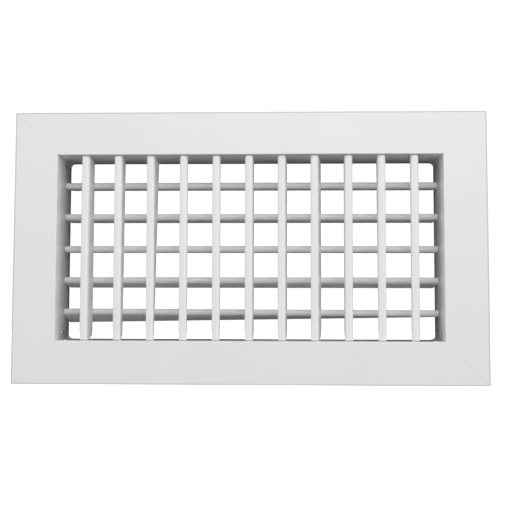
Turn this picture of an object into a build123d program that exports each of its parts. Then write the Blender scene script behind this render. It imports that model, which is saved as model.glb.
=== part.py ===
from build123d import *
import os
from math import cos, radians, sin

# Double-deflection air grille: a mitred aluminium frame with a neck, and two rows of turning blades.
# Millimetres. X runs along the width, Z is up and the face looks towards -Y. The origin is the centre
# of the opening, in the plane of the wall that the flange closes on to.

# Frame section
openWidth = 292.5
openHeight = 141.0
flangeWidth = 32.5
flangeThickness = 1.3
lipDepth = 4.5  # face to wall
lipThickness = 1.3
neckWall = 1.25
neckDepth = 36.5  # behind the wall plane
cornerRadius = 1.2
frontEdgeRadius = 1.1
mouthEdgeRadius = 0.7
mitreGap = 0.05

# Channel behind the flange, and the corner keys in it
ribThickness = 1.0
ribHeight = 2.4
channelWidth = 12.0
channelInset = 9.0  # outer edge of the flange to the channel
keyThickness = 2.0
keyLegLength = 30.0
keyClearance = 0.1

# Blade section, measured along the chord from the pivot
frontNoseRadius = 3.0
rearNoseRadius = 2.5
noseAhead = 4.5  # pivot to the tip of the nose
tailRadius = 0.75
tailBehind = 13.5  # pivot to the tip of the tail
hollowWall = 1.0  # at the front end of the hollow
hollowFrontAt = 4.3
hollowRearRadius = 0.4
hollowRearAt = 10.2
frontCornerCut = 3.0  # along the blade, at the tail
rearCornerCut = 1.2
cornerCutFrom = 2.5

# Rows of blades
frontEndMargin = 21.25  # side wall to the outermost pivot of the front row
rearEndMargin = 20.5  # top or bottom wall to the outermost pivot of the rear row
frontNoseDepth = 1.5  # face to the noses of the front row
rearNoseDepth = 22.1
frontAngles = [  # tail towards +X, lower and upper end of each blade from -X to +X
    (10.5, 10.5), (3, 7.5), (0.5, 14), (3, 3), (5.5, 5.5), (10.5, 10.5),
    (13.5, 13.5), (19.5, 19.5), (-6.5, -6.5), (-1.5, -5.5), (-0.5, -0.5)]
rearAngles = [  # tail down, -X and +X end of each blade from the top down
    (3.5, 3.5), (9, 9), (5, 5), (18.5, 18.5), (32, 8.5)]

# Pivots
pinRadius = 1.5
pinFit = 0.02
pinInBlade = 12.0
pinProud = 0.5  # past the bush
pinChamfer = 0.3
bushRunningGap = 0.05
bushBarrelRadius = 2.5
bushCollarRadius = 3.1
bushCollarThickness = 0.6
bushHeadRadius = 3.2
bushHeadThickness = 1.4
bushHeadChamfer = 0.5
bladeEndPlay = 0.15

# Corner brackets around the outside of the neck, and their rivets
bracketThickness = 1.0
bracketLeg = 13.0
bracketSetback = 6.5  # face to the front edge of the bracket
bracketDepth = 29.0
rivetRadius = 1.2
rivetHoleClearance = 0.05
rivetHeadRadius = 1.9
rivetHeadHeight = 0.6
rivetHeadRounding = 0.5
rivetTailRadius = 1.8
rivetTailLength = 0.9
rivetFromWall = 5.5
rivetDepthAcross = 9.0  # face to the rivets in the top and bottom walls
rivetDepthUpright = 23.0  # face to the rivets in the side walls

# Filler bead that rounds each inner corner at the rear edge of the neck
beadRadius = 3.2
beadEdge = 0.15
beadLength = 4.0

faceY = -lipDepth
depth = lipDepth + neckDepth
overallWidth = openWidth + 2 * flangeWidth
overallHeight = openHeight + 2 * flangeWidth
frontPivotY = faceY + frontNoseDepth + noseAhead
rearPivotY = faceY + rearNoseDepth + noseAhead
bladeEndGap = bushCollarThickness + bladeEndPlay
frontLength = openHeight - 2 * bladeEndGap
rearLength = openWidth - 2 * bladeEndGap

up, down = Vector(0, 0, 1), Vector(0, 0, -1)
left, right = Vector(-1, 0, 0), Vector(1, 0, 0)
back = Vector(0, 1, 0)


def evenPlaces(opening, margin, count):
    pitch = (opening - 2 * margin) / (count - 1)
    return [margin - opening / 2 + pitch * i for i in range(count)]


frontPlaces = evenPlaces(openWidth, frontEndMargin, len(frontAngles))
rearPlaces = evenPlaces(openHeight, rearEndMargin, len(rearAngles))[::-1]


def save(part, name):
    part.label = name
    export_step(part, f"parts/{name}.step")
    print(f"{name}: {len(part.solids())} solid(s), {part.volume:.1f} mm3")


def halfOpening(direction):
    return openHeight / 2 if direction.Z else openWidth / 2


def halfAcross(direction):
    return openWidth / 2 if direction.Z else openHeight / 2


def alongSide(direction):
    return right if direction.Z else up


def wallPlane(direction, place, y):
    """Plane on the neck's inner face, with its normal out through the wall."""
    origin = direction * halfOpening(direction) + alongSide(direction) * place + back * y
    return Plane(origin=origin, x_dir=back, z_dir=direction)


def rivetPlanes(direction):
    y = faceY + (rivetDepthAcross if direction.Z else rivetDepthUpright)
    reach = halfAcross(direction) - rivetFromWall
    return [wallPlane(direction, side * reach, y) for side in (-1, 1)]


def bushPlanes(direction):
    places, y = (frontPlaces, frontPivotY) if direction.Z else (rearPlaces, rearPivotY)
    return [wallPlane(direction, place, y) for place in places]


def drillThrough(planes, radius):
    for plane in planes:
        with BuildSketch(plane.offset(-1)) as hole:
            Circle(radius)
        extrude(hole.sketch, amount=neckWall + bracketThickness + 2, mode=Mode.SUBTRACT)


# One mitred side of the frame, named by the direction that points out from the opening
def frameMember(direction):
    along = alongSide(direction)
    low = (Align.MIN, Align.MIN)
    ribPlaces = [flangeWidth - channelInset, flangeWidth - channelInset - channelWidth - ribThickness]
    with BuildPart() as member:
        sectionPlane = Plane(origin=direction * halfOpening(direction), x_dir=direction,
                             z_dir=direction.cross(back))
        with BuildSketch(sectionPlane) as section:
            with Locations((0, faceY)):
                Rectangle(flangeWidth, flangeThickness, align=low)
                Rectangle(neckWall, depth, align=low)
            with Locations((flangeWidth - lipThickness, faceY)):
                Rectangle(lipThickness, lipDepth, align=low)
            with Locations(*[(x, faceY + flangeThickness) for x in ribPlaces]):
                Rectangle(ribThickness, ribHeight, align=low)
            mouth, rim = section.vertices().group_by(Axis.Y)[0].sort_by(Axis.X)
            fillet(mouth, mouthEdgeRadius)
            fillet(rim, frontEdgeRadius)
        extrude(amount=halfAcross(direction) + flangeWidth, both=True)
        with BuildSketch(Plane.XZ.offset(lipDepth)):
            RectangleRounded(overallWidth, overallHeight, cornerRadius)
        extrude(amount=-depth, mode=Mode.INTERSECT)
        for side in (-1, 1):
            corner = direction * halfOpening(direction) + along * side * halfAcross(direction)
            inward = (direction - along * side).normalized()
            split(bisect_by=Plane(origin=corner + inward * (mitreGap / 2), z_dir=inward), keep=Keep.TOP)
        drillThrough(bushPlanes(direction), bushBarrelRadius)
        drillThrough(rivetPlanes(direction), rivetRadius + rivetHoleClearance)
    return member.part


# Plane at a corner of the neck, with x and y running inwards along the two walls
def cornerPlane(sideX, sideZ, out, y):
    origin = (sideX * (openWidth / 2 + out), y, sideZ * (openHeight / 2 + out))
    return Plane(origin=origin, x_dir=(-sideX, 0, 0), z_dir=(0, -sideX * sideZ, 0))


def cornerBracket(sideX, sideZ):
    toRear = -sideX * sideZ
    with BuildPart() as bracket:
        with BuildSketch(cornerPlane(sideX, sideZ, neckWall, faceY + bracketSetback)):
            with BuildLine():
                bend = Polyline((bracketLeg, 0), (0, 0), (0, bracketLeg))
                offset(bend, amount=bracketThickness, side=Side.LEFT)
            make_face()
        extrude(amount=toRear * bracketDepth)
        for direction in (up * sideZ, right * sideX):
            drillThrough(rivetPlanes(direction), rivetRadius + rivetHoleClearance)
    return bracket.part


def cornerBeads():
    waist = beadRadius - (beadRadius - beadEdge) * cos(radians(45))
    with BuildPart() as beads:
        for sideX, sideZ in ((-1, 1), (1, 1), (-1, -1), (1, -1)):
            with BuildSketch(cornerPlane(sideX, sideZ, 0, faceY + depth - beadLength)) as section:
                with BuildLine():
                    Polyline((beadEdge, beadRadius), (0, beadRadius), (0, 0), (beadRadius, 0),
                             (beadRadius, beadEdge))
                    ThreePointArc((beadRadius, beadEdge), (waist, waist), (beadEdge, beadRadius))
                make_face()
            extrude(section.sketch, amount=-sideX * sideZ * beadLength)
    return beads.part


def cornerKey(sideX, sideZ):
    toRear = -sideX * sideZ
    out = flangeWidth - channelInset - keyClearance
    width = channelWidth - 2 * keyClearance
    with BuildPart() as key:
        with BuildSketch(cornerPlane(sideX, sideZ, out, faceY + flangeThickness)):
            with BuildLine():
                Polyline((0, 0), (keyLegLength, 0), (keyLegLength, width), (width, width),
                         (width, keyLegLength), (0, keyLegLength), close=True)
            make_face()
        extrude(amount=toRear * keyThickness)
    return key.part


def neckRivets():
    with BuildPart() as rivets:
        for direction in (up, down, left, right):
            for plane in rivetPlanes(direction):
                with BuildSketch(plane):
                    Circle(rivetHeadRadius)
                extrude(amount=-rivetHeadHeight)
                rims = rivets.edges(Select.LAST).filter_by(GeomType.CIRCLE)
                fillet(rims.sort_by(Axis(plane.origin, plane.z_dir))[0], rivetHeadRounding)
                with BuildSketch(plane):
                    Circle(rivetRadius)
                extrude(amount=neckWall + bracketThickness)
                with BuildSketch(plane.offset(neckWall + bracketThickness)):
                    Circle(rivetTailRadius)
                extrude(amount=rivetTailLength)
    return rivets.part


def pivotBushes(direction):
    with BuildPart() as bushes:
        for plane in bushPlanes(direction):
            with BuildSketch(plane):
                Circle(bushCollarRadius)
            extrude(amount=-bushCollarThickness)
            with BuildSketch(plane):
                Circle(bushBarrelRadius)
            extrude(amount=neckWall)
            with BuildSketch(plane.offset(neckWall)):
                Circle(bushHeadRadius)
            extrude(amount=bushHeadThickness)
            rims = bushes.edges(Select.LAST).filter_by(GeomType.CIRCLE)
            chamfer(rims.sort_by(Axis(plane.origin, plane.z_dir))[-1], bushHeadChamfer)
            with BuildSketch(plane.offset(-bushCollarThickness)):
                Circle(pinRadius + bushRunningGap)
            extrude(amount=bushCollarThickness + neckWall + bushHeadThickness, mode=Mode.SUBTRACT)
    return bushes.part


# Plane across a blade at its pivot, with y towards the tail
def bladePlane(axis, pivot, place, angle):
    lean = radians(angle)
    tail = back * cos(lean) + axis.cross(back) * -sin(lean)
    return Plane(origin=pivot + axis * place, x_dir=tail.cross(axis), z_dir=axis)


def bladeOutline(noseRadius):
    with Locations((0, noseRadius - noseAhead)):
        Circle(noseRadius)
    with Locations((0, tailBehind - tailRadius)):
        Circle(tailRadius)
    make_hull()


def bladeHollow(noseRadius):
    taper = (noseRadius - tailRadius) / (noseAhead + tailBehind - noseRadius - tailRadius)
    halfThickness = noseRadius - taper * (hollowFrontAt + noseAhead - noseRadius)
    with Locations((0, hollowFrontAt)):
        Circle(halfThickness - hollowWall)
    with Locations((0, hollowRearAt)):
        Circle(hollowRearRadius)
    make_hull()


# A blade along the axis, set at one angle or twisted between the angles of its two ends
def blade(axis, pivot, length, angles, noseRadius, cornerCut):
    ends = [bladePlane(axis, pivot, place, angle) for place, angle in zip((-length / 2, length / 2), angles)]
    twisted = angles[0] != angles[1]
    with BuildPart() as one:
        for outline, mode in ((bladeOutline, Mode.ADD), (bladeHollow, Mode.SUBTRACT)):
            for end in ends if twisted else ends[:1]:
                with BuildSketch(end):
                    outline(noseRadius)
            if twisted:
                loft(ruled=True, mode=mode)
            else:
                extrude(amount=length, mode=mode)
        with BuildSketch(ends[0]):
            Circle(pinRadius + pinFit)
        extrude(amount=length, mode=Mode.SUBTRACT)
        for end, inward in zip(ends, (1, -1)):
            flank = Plane(origin=end.origin, x_dir=end.y_dir, z_dir=end.y_dir.cross(end.z_dir * inward))
            with BuildSketch(flank):
                with BuildLine():
                    slope = cornerCut / (tailBehind - cornerCutFrom)
                    past = tailBehind + 1
                    Polyline((cornerCutFrom, 0), (past, 0), (past, (past - cornerCutFrom) * slope),
                             close=True)
                make_face()
            extrude(amount=2 * noseRadius, both=True, mode=Mode.SUBTRACT)
    return one.part


def pivotPins(axis, pivot, length):
    pinLength = pinInBlade + bladeEndGap + neckWall + bushHeadThickness + pinProud
    with BuildPart() as pins:
        for side in (-1, 1):
            start = pivot + axis * side * (length / 2 - pinInBlade)
            with BuildSketch(Plane(origin=start, z_dir=axis * side)):
                Circle(pinRadius)
            extrude(amount=pinLength)
            chamfer(pins.edges(Select.LAST).filter_by(GeomType.CIRCLE), pinChamfer)
    return pins.part


os.makedirs("parts", exist_ok=True)

for name, direction in (("top", up), ("bottom", down), ("left", left), ("right", right)):
    save(frameMember(direction), f"frame_{name}")
    save(pivotBushes(direction), f"bushes_{name}")

for name, sideX, sideZ in (("top_left", -1, 1), ("top_right", 1, 1), ("bottom_left", -1, -1),
                           ("bottom_right", 1, -1)):
    save(cornerBracket(sideX, sideZ), f"neck_bracket_{name}")
    save(cornerKey(sideX, sideZ), f"flange_key_{name}")

save(neckRivets(), "neck_rivets")
save(cornerBeads(), "corner_beads")

for number, (place, angles) in enumerate(zip(frontPlaces, frontAngles), start=1):
    pivot = Vector(place, frontPivotY, 0)
    one = blade(up, pivot, frontLength, angles, frontNoseRadius, frontCornerCut)
    save(one, f"front_blade_{number:02d}")
    save(pivotPins(up, pivot, frontLength), f"front_pins_{number:02d}")

for number, (place, angles) in enumerate(zip(rearPlaces, rearAngles), start=1):
    pivot = Vector(0, rearPivotY, place)
    one = blade(right, pivot, rearLength, angles, rearNoseRadius, rearCornerCut)
    save(one, f"rear_blade_{number}")
    save(pivotPins(right, pivot, rearLength), f"rear_pins_{number}")
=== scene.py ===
import math

import bpy
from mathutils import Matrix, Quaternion, Vector


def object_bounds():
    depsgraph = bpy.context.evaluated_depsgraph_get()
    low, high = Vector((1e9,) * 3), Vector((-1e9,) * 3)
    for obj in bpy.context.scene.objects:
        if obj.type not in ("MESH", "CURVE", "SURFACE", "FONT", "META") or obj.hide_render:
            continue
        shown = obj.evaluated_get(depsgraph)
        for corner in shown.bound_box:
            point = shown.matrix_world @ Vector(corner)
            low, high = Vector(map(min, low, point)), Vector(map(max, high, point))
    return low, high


# White double-deflection air grille. Metres; X along the width, Z up, the face looks towards -Y.

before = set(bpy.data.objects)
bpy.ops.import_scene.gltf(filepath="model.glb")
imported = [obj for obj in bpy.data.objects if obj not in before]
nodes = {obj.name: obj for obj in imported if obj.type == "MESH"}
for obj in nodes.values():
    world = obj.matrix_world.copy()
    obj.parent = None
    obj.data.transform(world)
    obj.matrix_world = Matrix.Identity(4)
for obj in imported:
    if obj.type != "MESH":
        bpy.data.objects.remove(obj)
cadLow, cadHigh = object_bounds()


def newTree(name, diffuse=(0.8, 0.8, 0.8)):
    material = bpy.data.materials.new(name)
    material.use_nodes = True
    material.node_tree.nodes.clear()
    material.diffuse_color = (*diffuse, 1)
    return material, material.node_tree


def addNode(tree, kind, settings=None, inputs=None):
    node = tree.nodes.new(kind)
    for key, value in (settings or {}).items():
        setattr(node, key, value)
    for key, value in (inputs or {}).items():
        node.inputs[key].default_value = value
    return node


def link(tree, source, output, target, socket):
    tree.links.new(source.outputs[output], target.inputs[socket])


def noiseOf(tree, place, size, detail):  # features about size across
    noise = addNode(tree, "ShaderNodeTexNoise", {"noise_dimensions": "3D"},
                    {"Scale": 1 / size, "Detail": detail})
    link(tree, place, "Object", noise, "Vector")
    return noise


def remap(tree, source, output, spanFrom, spanTo, kind="LINEAR"):
    ramp = addNode(tree, "ShaderNodeMapRange", {"clamp": True, "interpolation_type": kind},
                   {"From Min": spanFrom[0], "From Max": spanFrom[1],
                    "To Min": spanTo[0], "To Max": spanTo[1]})
    link(tree, source, output, ramp, "Value")
    return ramp


# Each value is a number, or a node and the name of its output
def addMath(tree, operation, *values):
    node = addNode(tree, "ShaderNodeMath", {"operation": operation})
    for index, value in enumerate(values):
        if isinstance(value, tuple):
            tree.links.new(value[0].outputs[value[1]], node.inputs[index])
        else:
            node.inputs[index].default_value = value
    return node, "Value"


def mixColour(tree, factor, colourA, colourB):
    mix = addNode(tree, "ShaderNodeMix", {"data_type": "RGBA"})
    mix.inputs["A"].default_value = (*colourA, 1)
    mix.inputs["B"].default_value = (*colourB, 1)
    link(tree, *factor, mix, "Factor")
    return mix


def bumpOf(tree, height, strength, distance, under=None):
    bump = addNode(tree, "ShaderNodeBump", None, {"Strength": strength, "Distance": distance})
    link(tree, height, "Fac", bump, "Height")
    if under:
        link(tree, under, "Normal", bump, "Normal")
    return bump


# White semi-gloss powder coat over extruded aluminium
powderCoat = {
    "colour": (0.84, 0.84, 0.84),
    "cloudColour": (0.825, 0.826, 0.828),  # where the coat is a shade thinner
    "cloudSize": 0.05,
    "cloudFrom": (0.35, 0.7),
    "roughness": (0.30, 0.40),
    "roughSize": 0.012,
    "roughFrom": (0.3, 0.7),
    "peelSize": 0.0022,  # orange peel
    "peelHeight": 0.00006,
    "peelStrength": 0.35,
    "grainSize": 0.0004,
    "grainHeight": 0.000008,
    "grainStrength": 0.4,
    "speckSize": 0.0035,
    "speckRim": (0.02, 0.045),  # in cells of speckSize
    "speckStrength": 0.35,
    "speckColour": (0.66, 0.65, 0.64),
    "ior": 1.5,
}

# Painted shade, where the coat colour is made darker to stand for shade: axis, where that starts and is
# full, and the share of the colour left
mouth = {"halfWidth": 0.14625, "halfHeight": 0.0705, "skin": (0.0002, 0.0008)}
# painted shade: darker deeper into the neck, and darkest at its rear edge
neckPaintedShade = (("Y", 0.006, 0.034, 0.66), ("Y", 0.030, 0.0355, 0.55))
# painted shade along the rear edge of the top wall inside the neck
topRearPaintedShade = (("Y", 0.0345, 0.0362, 0.45),)
lowerWallPaintedShade = (("Y", 0.0035, 0.007, 0.72),)  # painted shade on the lower wall inside the neck
# painted shade: a darker band along the rounded outer rim of the face
rimPaintedShade = (("X", 0.1775, 0.1781, 0.72), ("X", -0.1775, -0.1781, 0.72),
           ("Z", 0.1018, 0.1024, 0.72), ("Z", -0.1018, -0.1024, 0.72))


# 1 on the faces that look into the neck, 0 outside it
def insideNeck(tree, spot):
    within = []
    for axis, half in (("X", mouth["halfWidth"]), ("Z", mouth["halfHeight"])):
        aside, output = addMath(tree, "ABSOLUTE", (spot, axis))
        skin = [half + out for out in mouth["skin"]]
        within.append((remap(tree, aside, output, skin, (1.0, 0.0)), "Result"))
    return addMath(tree, "MULTIPLY", *within)


# Paints shade into the coat colour: each row multiplies it darker along one axis, and the neck rows act
# only on faces inside the neck
def paintShade(tree, place, colour, paintedShadeAt, neckPaintedShadeAt):
    spot = addNode(tree, "ShaderNodeSeparateXYZ")
    link(tree, place, "Object", spot, "Vector")
    inside = insideNeck(tree, spot)
    for onlyInside, rows in ((False, paintedShadeAt), (True, neckPaintedShadeAt)):
        for axis, start, full, left in rows:
            shadeMask = (remap(tree, spot, axis, (start, full), (0.0, 1.0)), "Result")
            if onlyInside:
                shadeMask = addMath(tree, "MULTIPLY", shadeMask, inside)
            shaded = addNode(tree, "ShaderNodeMix", {"data_type": "RGBA", "blend_type": "MULTIPLY"})
            shaded.inputs["B"].default_value = (left, left, left, 1)
            link(tree, *shadeMask, shaded, "Factor")
            link(tree, colour, "Result", shaded, "A")
            colour = shaded
    return colour


def makePowderCoat(name, shade=1.0, paintedShadeAt=(), neckPaintedShadeAt=()):
    spec = powderCoat
    material, tree = newTree(name, spec["colour"])
    output = addNode(tree, "ShaderNodeOutputMaterial")
    shader = addNode(tree, "ShaderNodeBsdfPrincipled", None, {"IOR": spec["ior"]})
    place = addNode(tree, "ShaderNodeTexCoord")
    clouds = noiseOf(tree, place, spec["cloudSize"], detail=4.0)
    cloudMask = remap(tree, clouds, "Fac", spec["cloudFrom"], (0.0, 1.0))
    coat = mixColour(tree, (cloudMask, "Result"), [shade * c for c in spec["colour"]],
                     [shade * c for c in spec["cloudColour"]])
    specks = addNode(tree, "ShaderNodeTexVoronoi", {"feature": "F1"}, {"Scale": 1 / spec["speckSize"]})
    link(tree, place, "Object", specks, "Vector")
    speckMask = remap(tree, specks, "Distance", spec["speckRim"], (spec["speckStrength"], 0.0))
    colour = addNode(tree, "ShaderNodeMix", {"data_type": "RGBA"})
    colour.inputs["B"].default_value = (*spec["speckColour"], 1)
    link(tree, speckMask, "Result", colour, "Factor")
    link(tree, coat, "Result", colour, "A")
    if paintedShadeAt or neckPaintedShadeAt:
        colour = paintShade(tree, place, colour, paintedShadeAt, neckPaintedShadeAt)
    link(tree, colour, "Result", shader, "Base Color")
    patches = noiseOf(tree, place, spec["roughSize"], detail=3.0)
    rough = remap(tree, patches, "Fac", spec["roughFrom"], spec["roughness"])
    link(tree, rough, "Result", shader, "Roughness")
    grain = bumpOf(tree, noiseOf(tree, place, spec["grainSize"], detail=2.0),
                   spec["grainStrength"], spec["grainHeight"])
    peel = bumpOf(tree, noiseOf(tree, place, spec["peelSize"], detail=1.0),
                  spec["peelStrength"], spec["peelHeight"], grain)
    link(tree, peel, "Normal", shader, "Normal")
    link(tree, shader, "BSDF", output, "Surface")
    return material


nylon = {"colour": (0.72, 0.71, 0.66), "deepColour": (0.66, 0.64, 0.58), "flowSize": 0.003,
         "roughness": 0.45, "ior": 1.53, "glowThrough": 0.15, "glowDepth": 0.001,
         "grainSize": 0.0009, "grainHeight": 0.00001, "grainStrength": 0.3}


def makeNylon(name, spec):
    material, tree = newTree(name, spec["colour"])
    output = addNode(tree, "ShaderNodeOutputMaterial")
    shader = addNode(tree, "ShaderNodeBsdfPrincipled", None,
                     {"Roughness": spec["roughness"], "IOR": spec["ior"],
                      "Subsurface Weight": spec["glowThrough"], "Subsurface Scale": spec["glowDepth"]})
    place = addNode(tree, "ShaderNodeTexCoord")
    flow = noiseOf(tree, place, spec["flowSize"], detail=3.0)
    colour = mixColour(tree, (flow, "Fac"), spec["colour"], spec["deepColour"])
    link(tree, colour, "Result", shader, "Base Color")
    grain = bumpOf(tree, noiseOf(tree, place, spec["grainSize"], detail=2.0),
                   spec["grainStrength"], spec["grainHeight"])
    link(tree, grain, "Normal", shader, "Normal")
    link(tree, shader, "BSDF", output, "Surface")
    return material


steelPin = {"colour": (0.56, 0.56, 0.55), "darkColour": (0.42, 0.42, 0.42), "roughness": (0.25, 0.42),
            "grainSize": 0.0008, "metallic": 1.0}
millAluminium = {"colour": (0.70, 0.70, 0.71), "darkColour": (0.60, 0.60, 0.62), "roughness": (0.28, 0.45),
                 "grainSize": 0.0015, "metallic": 0.55}  # dulled by its oxide skin
rivetAluminium = {"colour": (0.76, 0.76, 0.77), "darkColour": (0.66, 0.66, 0.67), "roughness": (0.30, 0.42),
                  "grainSize": 0.001, "metallic": 1.0}
metalGrain = {"roughFrom": (0.3, 0.7), "strength": 0.25, "height": 0.00001}


# The marks of rolling or turning are drawn out along the axis whose share in grainStretch is under 1
def makeBareMetal(name, spec, grainStretch):
    material, tree = newTree(name, spec["colour"])
    output = addNode(tree, "ShaderNodeOutputMaterial")
    shader = addNode(tree, "ShaderNodeBsdfPrincipled", None, {"Metallic": spec["metallic"]})
    place = addNode(tree, "ShaderNodeTexCoord")
    stretch = addNode(tree, "ShaderNodeMapping", None, {"Scale": grainStretch})
    link(tree, place, "Object", stretch, "Vector")
    grain = addNode(tree, "ShaderNodeTexNoise", None, {"Scale": 1 / spec["grainSize"], "Detail": 3.0})
    link(tree, stretch, "Vector", grain, "Vector")
    colour = mixColour(tree, (grain, "Fac"), spec["colour"], spec["darkColour"])
    link(tree, colour, "Result", shader, "Base Color")
    rough = remap(tree, grain, "Fac", metalGrain["roughFrom"], spec["roughness"])
    link(tree, rough, "Result", shader, "Roughness")
    bump = bumpOf(tree, grain, metalGrain["strength"], metalGrain["height"])
    link(tree, bump, "Normal", shader, "Normal")
    link(tree, shader, "BSDF", output, "Surface")
    return material


finishes = {  # by the start of the node's name, the first that fits
    "frame_top": makePowderCoat("powder coat, top member", paintedShadeAt=rimPaintedShade, neckPaintedShadeAt=neckPaintedShade + topRearPaintedShade),
    "frame_bottom": makePowderCoat("powder coat, bottom member", paintedShadeAt=rimPaintedShade,
                                   neckPaintedShadeAt=neckPaintedShade + lowerWallPaintedShade),
    "frame_": makePowderCoat("powder coat, side members", paintedShadeAt=rimPaintedShade, neckPaintedShadeAt=neckPaintedShade),
    "corner_beads": makePowderCoat("powder coat on the corner beads", shade=0.96),
    "neck_bracket": makeBareMetal("mill aluminium bracket", millAluminium, (1, 0.1, 1)),
    "front_blade": makePowderCoat("powder coat on the upright blades"),
    # painted shade: the level blades get the same coat 4% darker than the upright ones
    "rear_blade": makePowderCoat("powder coat on the level blades", shade=0.96),
    "bushes_": makeNylon("moulded nylon", nylon),
    "front_pins": makeBareMetal("zinc-plated pin, upright", steelPin, (1, 1, 0.2)),
    "rear_pins": makeBareMetal("zinc-plated pin, level", steelPin, (0.2, 1, 1)),
    "flange_key": makeBareMetal("mill aluminium", millAluminium, (1, 1, 0.1)),
    "neck_rivets": makeBareMetal("rivet aluminium", rivetAluminium, (1, 1, 1)),
}
for name, piece in nodes.items():
    finish = next(finishes[start] for start in finishes if name.startswith(start))
    piece.data.materials.clear()
    piece.data.materials.append(finish)
print("finishes on:", len(nodes), "pieces")


floor = {
    "drop": 0.06,  # below the lower edge of the face
    "size": 6.0,
    "colour": (0.9, 0.9, 0.9),
    "roughness": 0.8,
    "glow": 1.05,
}


def layFloor(spec):
    z, half = cadLow.z - spec["drop"], spec["size"] / 2
    mesh = bpy.data.meshes.new("floor")
    mesh.from_pydata([(-half, -half, z), (half, -half, z), (half, half, z), (-half, half, z)],
                     [], [(0, 1, 2, 3)])
    sheet = bpy.data.objects.new("floor", mesh)
    bpy.context.scene.collection.objects.link(sheet)
    paint, tree = newTree("pale floor", spec["colour"])
    output = addNode(tree, "ShaderNodeOutputMaterial")
    shader = addNode(tree, "ShaderNodeBsdfPrincipled", None,
                     {"Base Color": (*spec["colour"], 1), "Roughness": spec["roughness"],
                      "Emission Color": (1, 1, 1, 1), "Emission Strength": spec["glow"]})
    link(tree, shader, "BSDF", output, "Surface")
    mesh.materials.append(paint)
    sheet.visible_diffuse = False
    sheet.visible_glossy = False


layFloor(floor)
print("floor laid")


# Soft light from ahead, stronger from the sides, weaker from below and above, none from behind.
# Spans are shares of a direction along one axis.
softLight = {
    "ahead": 0.62,
    "sides": (((0.22, 0.50), 0.50), ((0.50, 0.85), 0.98)),  # span of the share along X, and what it adds
    "front": (0.05, -0.15),
    "below": (-0.5, 0.1),
    "belowShare": 0.27,
    "above": (0.2, 0.8),
    "aboveShare": 0.55,
    "backdrop": 1.05,  # what the camera sees
}


def hangSoftLight(spec):
    world = bpy.data.worlds.new("studio")
    bpy.context.scene.world = world
    world.use_nodes = True
    tree = world.node_tree
    tree.nodes.clear()
    output = addNode(tree, "ShaderNodeOutputWorld")
    place = addNode(tree, "ShaderNodeTexCoord")
    split = addNode(tree, "ShaderNodeSeparateXYZ")
    link(tree, place, "Generated", split, "Vector")
    aside, asideOutput = addMath(tree, "ABSOLUTE", (split, "X"))
    level = spec["ahead"]
    for span, added in spec["sides"]:
        rise = remap(tree, aside, asideOutput, span, (0.0, added), "SMOOTHSTEP")
        level = addMath(tree, "ADD", (rise, "Result"), level)
    ahead = remap(tree, split, "Y", spec["front"], (0.0, 1.0), "SMOOTHSTEP")
    below = remap(tree, split, "Z", spec["below"], (spec["belowShare"], 1.0), "SMOOTHSTEP")
    above = remap(tree, split, "Z", spec["above"], (1.0, spec["aboveShare"]), "SMOOTHSTEP")
    for mask in (ahead, below, above):
        level = addMath(tree, "MULTIPLY", (mask, "Result"), level)
    paths = addNode(tree, "ShaderNodeLightPath")
    seen = addNode(tree, "ShaderNodeMix", {"data_type": "FLOAT"}, {"B": spec["backdrop"]})
    link(tree, paths, "Is Camera Ray", seen, "Factor")
    link(tree, *level, seen, "A")
    background = addNode(tree, "ShaderNodeBackground", None, {"Color": (1, 1, 1, 1)})
    link(tree, seen, "Result", background, "Strength")
    link(tree, background, "Background", output, "Surface")


keyLight = {"place": (0.15, -0.8, 0.58), "aim": (0, 0, 0), "size": 0.8, "power": 3.3}
rearLight = {"from": (0, 1.0, 0.04), "power": 2.2, "spread": 10}  # degrees; keeps the back readable


def hangLamp(name, kind, towards, settings):
    data = bpy.data.lights.new(name, kind)
    for key, value in settings.items():
        setattr(data, key, value)
    lamp = bpy.data.objects.new(name, data)
    lamp.rotation_euler = towards.to_track_quat("-Z", "Y").to_euler()
    bpy.context.scene.collection.objects.link(lamp)
    return lamp


hangSoftLight(softLight)
key = hangLamp("key light", "AREA", Vector(keyLight["aim"]) - Vector(keyLight["place"]),
               {"size": keyLight["size"], "energy": keyLight["power"]})
key.location = keyLight["place"]
key.visible_camera = False
rear = hangLamp("rear light", "SUN", -Vector(rearLight["from"]),
                {"energy": rearLight["power"], "angle": math.radians(rearLight["spread"])})
rear.visible_glossy = False

camera = {
    "place": (0.0227, -0.5955, -0.0439),
    "target": (0.0053, -0.0045, -0.0067),
    "roll": 0.13,  # degrees
    "lens": 55.47,
    "sensor": 36.0,
    "near": 0.01,
    "far": 50,
}
cameraData = bpy.data.cameras.new("camera")
cameraData.lens, cameraData.sensor_width = camera["lens"], camera["sensor"]
cameraData.clip_start, cameraData.clip_end = camera["near"], camera["far"]
cameraObject = bpy.data.objects.new("camera", cameraData)
cameraObject.location = camera["place"]
aim = (Vector(camera["target"]) - Vector(camera["place"])).to_track_quat("-Z", "Y")
cameraObject.rotation_euler = (aim @ Quaternion((0, 0, 1), math.radians(camera["roll"]))).to_euler()
bpy.context.scene.collection.objects.link(cameraObject)
bpy.context.scene.camera = cameraObject
bpy.context.scene.view_settings.view_transform = "Standard"
print("light and camera set")
